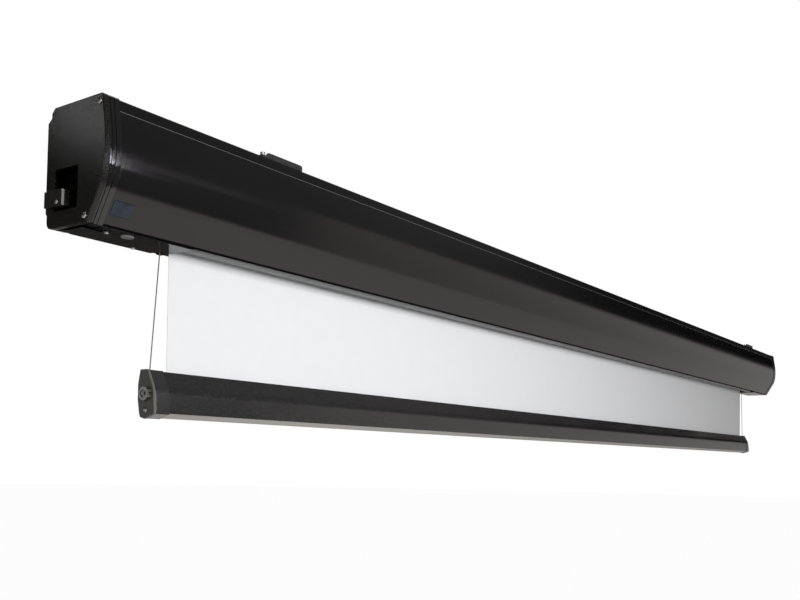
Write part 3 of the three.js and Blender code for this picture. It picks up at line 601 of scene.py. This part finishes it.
# Screws: domed heads with a cross recess, in place of the CAD screws
def screw(node, body, direction, height, shank, material=finish["steel"]):
    """The head's height and the shank's radius are in millimetres."""
    foot_share, bevel_share, rim_share = 0.97, 0.12, 0.45
    slot_wide_share, slot_long_share, slot_deep_share = 0.16, 0.62, 0.62
    dome_steps = 6
    low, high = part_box(node)
    centre = (low + high) / 2
    reach = (high - low) / 2
    half = sum(abs(a) * b for a, b in zip(direction, reach))
    radius = reach.y
    height, shank = height * MM, shank * MM
    foot = half - height
    rim = rim_share * height
    profile = [
        (0, -half), (shank, -half), (shank, foot), (radius * foot_share, foot),
        (radius, foot + bevel_share * height),
    ]
    for i in range(dome_steps + 1):
        angle = math.pi / 2 * i / dome_steps
        profile.append((radius * math.cos(angle), foot + rim + (height - rim) * math.sin(angle)))
    turn = facing(direction, centre)
    made = piece(f"{node}_detailed", *moved(lathe(profile, 32), turn), material)
    wide, long, deep = slot_wide_share * radius, slot_long_share * radius, slot_deep_share * height
    arms = [box_mesh((-a, -b, half - deep), (a, b, half + height)) for a, b in ((wide, long), (long, wide))]
    carve(made, *[moved(arm, turn) for arm in arms])
    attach(made, body)
    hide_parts(node)


for level in ("upper", "lower"):
    screw(f"end_screw_left_{level}", "casing", LEFT, 1.8, 1.9, black_steel)
    screw(f"end_screw_right_{level}", "casing", RIGHT, 1.8, 1.9, black_steel)
screw("inlet_screw", "casing", LEFT, 1.1, 1.1)
screw("cap_screw_left", "weight_bar", LEFT, 0.9, 1.7, black_steel)
screw("cap_screw_right", "weight_bar", RIGHT, 0.9, 1.7, black_steel)
screw("cover_screw_left", "casing", DOWN, 0.99, 2.7)
screw("cover_screw_right", "casing", DOWN, 0.99, 2.7)
screw("service_cover_screw", "casing", DOWN, 0.89, 2.5)


# The wound sheet: a spiral that ends where the hanging sheet leaves it, with a groove between its turns
def wound_sheet():
    inner, thick, groove = 25.3 * MM, 0.5 * MM, 0.25 * MM
    count = 144
    low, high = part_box("fabric_roll")
    centre = (low + high) / 2
    outer = (high.z - low.z) / 2
    turns = round((outer - inner) / thick)
    # Two rings of vertices to each turn, of which the odd ones lie in the groove
    last = 2 * turns
    vertices, rows = [], []
    for end, inwards in ((low.x, 1), (high.x, -1)):
        for k in range(last + 1):
            x = end + inwards * (groove if k % 2 else 0)
            rows.append(list(range(len(vertices), len(vertices) + count)))
            for i in range(count):
                share = i / count
                radius = inner + (outer - inner) * k / last - thick * share * min(1, k / 2)
                angle = 2 * math.pi * share
                vertices.append((x, centre.y + radius * math.cos(angle), centre.z + radius * math.sin(angle)))
    faces = []
    half = len(rows) // 2
    order = rows[:half] + rows[half:][::-1]
    for a, b in zip(order, order[1:] + order[:1]):
        for i in range(count):
            j = (i + 1) % count
            faces.append((a[i], b[i], b[j], a[j]))
    roll = piece("wound_sheet", vertices, faces, finish["sheet_back"], "roller", "sheet_back", 50)
    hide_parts("fabric_roll")
    return roll


roll = wound_sheet()


# The hanging sheet, whose sides draw in a little under its tension
def hanging_sheet():
    low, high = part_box("screen_sheet")
    draw_in = 2.2 * MM
    columns = 24
    vertices = []
    for z, inset in ((high.z, 0), (low.z, draw_in)):
        for y in (low.y, high.y):
            for i in range(columns + 1):
                x = low.x + inset + (high.x - low.x - 2 * inset) * i / columns
                vertices.append((x, y, z))
    # Each row starts where its first vertex is: front and back at the top, then front and back at the foot
    front, back, front_foot, back_foot = (row * (columns + 1) for row in range(4))
    white, grey = 0, 1
    faces, finishes = [], []
    for i in range(columns):
        j = i + 1
        faces += [
            (front + i, front_foot + i, front_foot + j, front + j),
            (back + i, back + j, back_foot + j, back_foot + i),
            (front + i, front + j, back + j, back + i),
            (front_foot + i, back_foot + i, back_foot + j, front_foot + j),
        ]
        finishes += [white, grey, grey, grey]
    faces.append((front, back, back_foot, front_foot))
    faces.append(tuple(row + columns for row in (front, front_foot, back_foot, back)))
    finishes += [white, white]
    made = piece("hanging_sheet", vertices, faces, finish["sheet"], crease=20)
    made.data.materials.append(finish["sheet_back"])
    made.data.polygons.foreach_set("material_index", finishes)
    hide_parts("screen_sheet")
    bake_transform(made)


hanging_sheet()


# Tension cables, from their turns on the roller down to the drums in the bar
def tension_cable(side):
    low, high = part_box(f"tension_cable_{side}")
    radius = (high.y - low.y) / 2
    y = (low.y + high.y) / 2
    inner, outer, sign = (high.x, low.x, -1) if side == "left" else (low.x, high.x, 1)
    top = Vector((inner + sign * radius, y, high.z))
    foot = Vector((outer - sign * radius, y, low.z))
    made = piece(f"cable_{side}", *tube([top, foot], radius, 16), finish["cable"], slot="cable")
    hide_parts(f"tension_cable_{side}")
    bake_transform(made)


def cable_turns(side):
    thick, turns, steps_to_turn = 1.15 * MM, 6, 48
    low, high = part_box(f"cable_turns_{side}")
    centre = (low + high) / 2
    radius = (high.z - low.z) / 2 - thick / 2
    reach = (high.x - low.x - thick) / 2
    count = turns * steps_to_turn
    points = []
    for i in range(count + 1):
        angle = 2 * math.pi * turns * i / count
        x = centre.x - reach + 2 * reach * i / count
        points.append((x, centre.y + radius * math.cos(angle), centre.z + radius * math.sin(angle)))
    made = piece(f"wound_cable_{side}", *tube(points, thick / 2, 8), finish["cable"], "roller", "cable", 60)
    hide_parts(f"cable_turns_{side}")


for side in SIDES:
    tension_cable(side)
    cable_turns(side)


# Leads inside the casing, along the routes of their CAD solids, in millimetres
LEAD_RADIUS = 2.15 * MM
ROUTES = {
    "motor_lead": [
        (-1437.2, -27.7, -44), (-1431.5, -27.7, -44), (-1423.05, -32.1, -46.2),
        (-1420.85, -43.275, -56.65), (-1420.85, -58.85, -82.3), (-1420.85, -58.85, -95.3),
    ],
    "receiver_lead": [
        (-1453.2, -89.2, -121.85), (-1453.2, -83.5, -118.5), (-1453.2, -67.5, -80.4),
        (-1453.2, -52.6, -39), (-1453.2, -46, -39),
    ],
}
for name, route in ROUTES.items():
    line = smooth_line([Vector(p) * MM for p in route], 8)
    made = piece(f"{name}_sheath", *tube(line, LEAD_RADIUS, 16), finish["lead"], "casing", "lead", 60)
    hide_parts(name)


# The push button: a crowned oval with a flange at its seat
def push_button():
    flange_wide, flange_thick, crown, crown_edge = 1.6 * MM, 0.8 * MM, 0.7 * MM, 1.1 * MM
    count = 64
    low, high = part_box("control_button")
    centre = (low + high) / 2
    full_x, full_y = (high.x - low.x) / 2, (high.y - low.y) / 2
    cap_x, cap_y = full_x - flange_wide, full_y - flange_wide
    seat = high.z - flange_thick
    crowned = [(share, crown * share**4) for share in (0.25, 0.5, 0.7, 0.85, 0.95)] + [(1.0, crown_edge)]
    levels = [(cap_x * share, cap_y * share, low.z + sunk) for share, sunk in crowned]
    levels += [(cap_x, cap_y, seat), (full_x, full_y, seat), (full_x, full_y, high.z)]
    vertices = [(centre.x, centre.y, low.z)]
    for a, b, z in levels:
        vertices += [(centre.x + a * math.cos(t), centre.y + b * math.sin(t), z) for t in round_angles(count)]
    faces = [(0, 1 + (i + 1) % count, 1 + i) for i in range(count)]
    faces += joined_rings(1, len(levels), count)
    faces.append(tuple(range(len(vertices) - count, len(vertices))))
    made = piece("push_button", vertices, faces, finish["button_plastic"], "button", "button_plastic", 40)
    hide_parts("control_button")


push_button()


# Contacts of the power inlet, inside its downward mouth
def inlet_contacts():
    outer, inner = -1500.2 * MM, -1497.6 * MM
    foot, top = -118.5 * MM, -108.7 * MM
    middles, half_wide = (-32.2, -27.7, -23.2), 1.2
    blades = [
        box_mesh((outer, (y - half_wide) * MM, foot), (inner, (y + half_wide) * MM, top)) for y in middles
    ]
    piece("inlet_contacts", *together(*blades), brass(), "casing", "steel")


inlet_contacts()


# Lights and surroundings
def area_light(name, position, target, size, power, color=(1, 1, 1)):
    """A rectangle that faces a target. Its height is the second of its sizes."""
    data = bpy.data.lights.new(name, "AREA")
    data.shape = "RECTANGLE"
    data.size, data.size_y = size
    data.energy = power
    data.color = color
    light = bpy.data.objects.new(name, data)
    scene.collection.objects.link(light)
    way = Vector(target) - Vector(position)
    light.matrix_world = Matrix.Translation(position) @ way.to_track_quat("-Z", "Y").to_matrix().to_4x4()


def sun_light(name, strength, angle):
    """Straight down, for the floor and the object's shadow on it."""
    data = bpy.data.lights.new(name, "SUN")
    data.energy = strength
    data.angle = math.radians(angle)
    scene.collection.objects.link(bpy.data.objects.new(name, data))


area_light("key", (-1.25, -2.4, -0.1), (-0.95, 0, -0.25), (1.2, 0.8), 50)
area_light("rim_light", (-0.15, -2.03, 0.4), (-1.48, -0.11, -0.06), (0.05, 0.5), 1.3, (0.9, 0.87, 1))
area_light("plate_light", (-1.78, 0.3, 0.15), (-1.5, -0.1, -0.02), (0.08, 0.08), 0.065)
sun_light("overhead", 2.4, 20)


class Rays:
    """Nodes that tell one kind of ray from another, and that reckon with numbers and sockets."""

    def __init__(self, tree):
        self.tree = tree
        self.path = tree.nodes.new("ShaderNodeLightPath")

    def feed(self, sockets, values):
        for socket, value in zip(sockets, values):
            if isinstance(value, bpy.types.NodeSocket):
                self.tree.links.new(value, socket)
            else:
                socket.default_value = value

    def math(self, operation, first, *others):
        """The operation on the first value and the next, then on that and the next, and so on."""
        result = first
        for value in others:
            node = self.tree.nodes.new("ShaderNodeMath")
            node.operation = operation
            self.feed(node.inputs, (result, value))
            result = node.outputs["Value"]
        return result

    def step(self, value, start, end, low=0.0, high=1.0):
        """Goes smoothly from low to high while the value goes from start to end."""
        node = self.tree.nodes.new("ShaderNodeMapRange")
        node.interpolation_type = "SMOOTHSTEP"
        for name, number in (("From Min", start), ("From Max", end), ("To Min", low), ("To Max", high)):
            node.inputs[name].default_value = number
        self.tree.links.new(value, node.inputs["Value"])
        return node.outputs["Result"]

    def part(self, *bands):
        """The product of several steps, each given as step takes it."""
        return self.math("MULTIPLY", *[self.step(*band) for band in bands])

    def either(self, *kinds):
        """1 for the rays of these kinds and 0 for the others."""
        return self.math("MAXIMUM", *[self.path.outputs[kind] for kind in kinds])

    def choose(self, factor, a, b):
        """a where the factor is 0, b where it is 1."""
        node = self.tree.nodes.new("ShaderNodeMix")
        self.feed((node.inputs[0], node.inputs[2], node.inputs[3]), (factor, a, b))
        return node.outputs[0]


def surroundings():
    """White to the camera and through glass, and dim to diffuse light. Gloss sees a dark room whose floor,
    screen, ceiling, left side and window are bright. They are laid out by the direction of the ray:
    x along the casing, y to the wall and z up."""
    ambient = 0.2
    glossy_tone = (1, 0.95, 0.91, 1)
    floor_climb, floor_top = 0.8, 0.1
    world = bpy.data.worlds.new("room")
    scene.world = world
    world.use_nodes = True
    tree = world.node_tree
    tree.nodes.clear()
    rays = Rays(tree)
    place = tree.nodes.new("ShaderNodeTexCoord")
    way = tree.nodes.new("ShaderNodeSeparateXYZ")
    tree.links.new(place.outputs["Generated"], way.inputs[0])
    x, y, z = way.outputs

    def leaning(slope):
        return rays.math("ADD", z, rays.math("MULTIPLY", y, slope))

    # Each band: what it goes by, its start and end, and the brightness before and after it, 0 and 1 if unsaid
    floor_edge = rays.math("MINIMUM", rays.math("MULTIPLY", y, floor_climb), floor_top)
    over_floor = rays.math("SUBTRACT", z, floor_edge)
    floor = rays.part((over_floor, -0.04, 0.04, 1.0, 0.0), (x, 0.65, 0.98, 1.0, 0.45))
    under_wall = rays.part((y, 0.1, 0.3), (z, -0.07, -0.12), (leaning(2.0), 0.8, 0.95))
    floor = rays.math("MULTIPLY", floor, rays.math("SUBTRACT", 1.0, under_wall))
    screen = rays.part((leaning(0.53), -0.02, 0.02, 1.0, 0.0), (x, 0.68, 0.76, 0.0, 0.46))
    ceiling = rays.part((leaning(2.4), 0.0, 0.05), (z, 0.15, 0.2), (x, 0.0, 0.1))
    left_side = rays.part((x, -0.25, -0.4), (y, 0.3, 0.1), (z, 0.6, 0.5))
    window = rays.part(
        (x, 0.56, 0.6), (x, 0.66, 0.72, 1.0, 0.0), (y, -0.1, -0.2),
        (z, 0.17, 0.22, 0.0, 0.36), (z, 0.26, 0.33, 1.0, 0.0),
    )
    dark_walls = rays.part((x, 0.8, 0.92, 0.15, 0.0), (y, 0.0, 0.2, 1.0, 0.25))
    mirrored = rays.math("MAXIMUM", dark_walls, floor, screen, ceiling, left_side, window)
    strength = rays.choose(rays.either("Is Glossy Ray"), ambient, mirrored)
    strength = rays.choose(rays.either("Is Camera Ray", "Is Transmission Ray"), strength, 1.0)
    tone = tree.nodes.new("ShaderNodeMix")
    tone.data_type = "RGBA"
    colors = (rays.either("Is Glossy Ray"), (1, 1, 1, 1), glossy_tone)
    rays.feed((tone.inputs[0], tone.inputs[6], tone.inputs[7]), colors)
    background = tree.nodes.new("ShaderNodeBackground")
    tree.links.new(tone.outputs[2], background.inputs["Color"])
    tree.links.new(strength, background.inputs["Strength"])
    output = tree.nodes.new("ShaderNodeOutputWorld")
    tree.links.new(background.outputs["Background"], output.inputs["Surface"])


surroundings()


def studio_floor():
    """White to the camera and to glass, but for the object's shadow. Other light passes through."""
    reach, height, count = 60.0, -2.3, 96
    glow_share = 0.9
    ring = [(reach * math.cos(a), reach * math.sin(a), height) for a in round_angles(count)]
    material = bpy.data.materials.new("pale floor")
    material.use_nodes = True
    tree = material.node_tree
    bsdf = tree.nodes["Principled BSDF"]
    bsdf.inputs["Base Color"].default_value = (0.8, 0.8, 0.8, 1)
    bsdf.inputs["Roughness"].default_value = 0.9
    bsdf.inputs["Specular IOR Level"].default_value = 0.1
    glow = tree.nodes.new("ShaderNodeEmission")
    glow.inputs["Strength"].default_value = 1.0
    mostly = tree.nodes.new("ShaderNodeMixShader")
    mostly.inputs["Fac"].default_value = glow_share
    tree.links.new(bsdf.outputs["BSDF"], mostly.inputs[1])
    tree.links.new(glow.outputs["Emission"], mostly.inputs[2])
    clear = tree.nodes.new("ShaderNodeBsdfTransparent")
    rays = Rays(tree)
    seen = rays.either("Is Camera Ray", "Is Transmission Ray")
    shown = tree.nodes.new("ShaderNodeMixShader")
    tree.links.new(seen, shown.inputs["Fac"])
    tree.links.new(clear.outputs["BSDF"], shown.inputs[1])
    tree.links.new(mostly.outputs["Shader"], shown.inputs[2])
    tree.links.new(shown.outputs["Shader"], tree.nodes["Material Output"].inputs["Surface"])
    floor = piece("floor", ring, [tuple(range(count))], material)


studio_floor()
